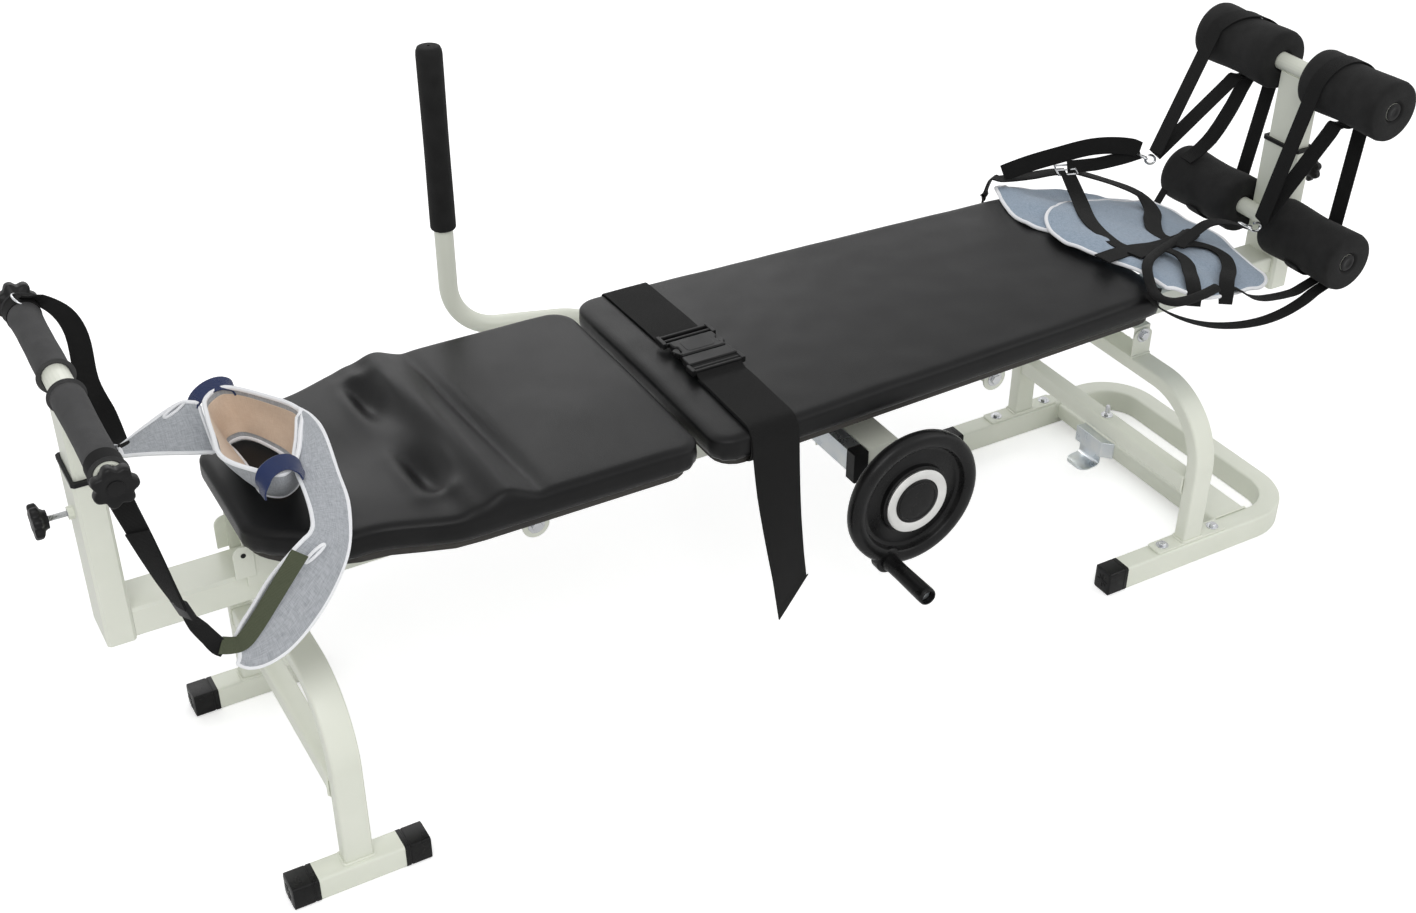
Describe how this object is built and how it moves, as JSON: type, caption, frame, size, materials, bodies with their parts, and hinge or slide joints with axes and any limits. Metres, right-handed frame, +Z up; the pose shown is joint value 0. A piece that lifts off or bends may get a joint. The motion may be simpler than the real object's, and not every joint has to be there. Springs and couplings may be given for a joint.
{
  "type": "traction table",
  "caption": "Manual traction bed: steel frame on two arches, padded top in two lengths, sliding foot end with ankle rollers and handwheel, head mast with sling.",
  "frame": {"origin": "on the floor, under the middle of the rear base loop's cross run at the foot end", "axes": "+X along the bed towards the foot end, +Y towards the side away from the drive wheel, +Z up"},
  "size_m": [2.159, 0.6663, 0.951],
  "materials": {
    "cream": "satin powder coat",
    "black_plastic": "satin moulded",
    "black_vinyl": "satin vinyl over foam",
    "board": "black stained plywood",
    "black_foam": "matte foam",
    "grey_foam": "matte foam",
    "grey_cloth": "heather knit with white piping",
    "blue_cloth": "plain weave with white piping",
    "webbing": "woven webbing",
    "zinc": "zinc plated",
    "silver": "satin"
  },
  "bodies": {
    "frame": {"main_beam": "cream", "head_post": "cream", "front_arch": "cream", "rear_base_loop": "cream", "rear_arch": "cream", "head_pad_bracket": "cream", "main_pad_bracket": "cream", "nose_saddle": "cream", "drive_channel": "cream", "lever_socket": "cream", "beam_liner": "black_plastic", "head_collar": "black_plastic", "front_cap_head_near": "black_plastic", "front_cap_head_far": "black_plastic", "front_cap_foot_near": "black_plastic", "front_cap_foot_far": "black_plastic", "rear_cap_near": "black_plastic", "rear_cap_far": "black_plastic", "drive_stay_plug": "black_plastic", "belt_buckle": "black_plastic", "head_pad": "black_vinyl", "main_pad": "black_vinyl", "head_pad_board": "board", "main_pad_board": "board", "neck_sling": "grey_cloth", "pelvic_harness": "blue_cloth", "waist_belt": "webbing", "drive_stay": "zinc", "pedal_bracket": "zinc"},
    "head_bar": {"head_mast": "cream", "head_grip_near": "grey_foam", "head_grip_far": "grey_foam", "neck_strap_near": "webbing", "neck_strap_far": "webbing"},
    "head_lock": {"head_lock_knob": "black_plastic"},
    "bar_knob_n": {"bar_knob_near": "black_plastic"},
    "bar_knob_f": {"bar_knob_far": "black_plastic"},
    "traction_carriage": {"traction_beam": "cream", "traction_rack": "zinc", "beam_glide": "black_plastic", "foot_post": "cream", "foot_collar": "black_plastic", "foot_post_plug": "black_plastic"},
    "foot_lock": {"foot_lock_knob": "black_plastic"},
    "lower_roller_n": {"lower_roller_near": "black_foam"},
    "lower_roller_f": {"lower_roller_far": "black_foam"},
    "ankle_mast": {"roller_mast": "cream", "foot_strap_near": "webbing", "foot_strap_far": "webbing"},
    "upper_roller_n": {"upper_roller_near": "black_foam"},
    "upper_roller_f": {"upper_roller_far": "black_foam"},
    "drive_wheel": {"handwheel": "black_plastic", "wheel_ring": "silver", "wheel_cap": "black_plastic", "wheel_shaft": "zinc", "crank_pin": "zinc"},
    "crank_handle": {"crank_grip": "black_plastic"},
    "lever": {"side_lever": "cream", "side_lever_grip": "black_foam"},
    "pedal": {"latch_pedal": "zinc"}
  },
  "joints": [
    {"name": "head_bar_slide", "type": "slide", "parent": "frame", "child": "head_bar", "axis": [0, 0, 1], "range_m": [-0.06, 0.08], "deforming": ["neck_strap_near", "neck_strap_far"]},
    {"name": "head_lock_turn", "type": "hinge", "parent": "frame", "child": "head_lock", "pos_m": [-1.98, 0, 0.56], "axis": [1, 0, 0], "continuous": true},
    {"name": "bar_knob_near_turn", "type": "hinge", "parent": "head_bar", "child": "bar_knob_n", "pos_m": [-1.9335, -0.23, 0.738], "axis": [0, 1, 0], "continuous": true},
    {"name": "bar_knob_far_turn", "type": "hinge", "parent": "head_bar", "child": "bar_knob_f", "pos_m": [-1.9335, 0.23, 0.738], "axis": [0, 1, 0], "continuous": true},
    {"name": "traction_slide", "type": "slide", "parent": "frame", "child": "traction_carriage", "axis": [1, 0, 0], "range_m": [0, 0.1]},
    {"name": "foot_lock_turn", "type": "hinge", "parent": "traction_carriage", "child": "foot_lock", "pos_m": [0.13, 0, 0.547], "axis": [1, 0, 0], "continuous": true},
    {"name": "lower_roller_near_turn", "type": "hinge", "parent": "traction_carriage", "child": "lower_roller_n", "pos_m": [0.0511, -0.12, 0.4803], "axis": [0, 1, 0], "continuous": true},
    {"name": "lower_roller_far_turn", "type": "hinge", "parent": "traction_carriage", "child": "lower_roller_f", "pos_m": [0.0511, 0.12, 0.4803], "axis": [0, 1, 0], "continuous": true},
    {"name": "ankle_mast_slide", "type": "slide", "parent": "traction_carriage", "child": "ankle_mast", "axis": [0, 0, 1], "range_m": [-0.07, 0.06], "deforming": ["foot_strap_near", "foot_strap_far"]},
    {"name": "upper_roller_near_turn", "type": "hinge", "parent": "ankle_mast", "child": "upper_roller_n", "pos_m": [0.0807, -0.12, 0.7385], "axis": [0, 1, 0], "continuous": true},
    {"name": "upper_roller_far_turn", "type": "hinge", "parent": "ankle_mast", "child": "upper_roller_f", "pos_m": [0.0807, 0.12, 0.7385], "axis": [0, 1, 0], "continuous": true},
    {"name": "handwheel_turn", "type": "hinge", "parent": "frame", "child": "drive_wheel", "pos_m": [-0.8425, -0.24, 0.354], "axis": [0, 1, 0], "range_deg": [0, 320]},
    {"name": "crank_grip_turn", "type": "hinge", "parent": "drive_wheel", "child": "crank_handle", "pos_m": [-0.88314, -0.3, 0.25827], "axis": [0, 1, 0], "continuous": true},
    {"name": "side_lever_turn", "type": "hinge", "parent": "frame", "child": "lever", "pos_m": [-1.0825, 0.14, 0.4601], "axis": [0, 1, 0], "range_deg": [-15, 20]},
    {"name": "pedal_turn", "type": "hinge", "parent": "frame", "child": "pedal", "pos_m": [-0.2663, 0.02, 0.122], "axis": [0, 1, 0], "range_deg": [0, 15], "stiffness_Nm_per_rad": 0.8, "springref_deg": -11.46}
  ],
  "couplings": [
    {"joint": "handwheel_turn", "follows": "traction_slide", "rad_per_m": 55.556}
  ]
}
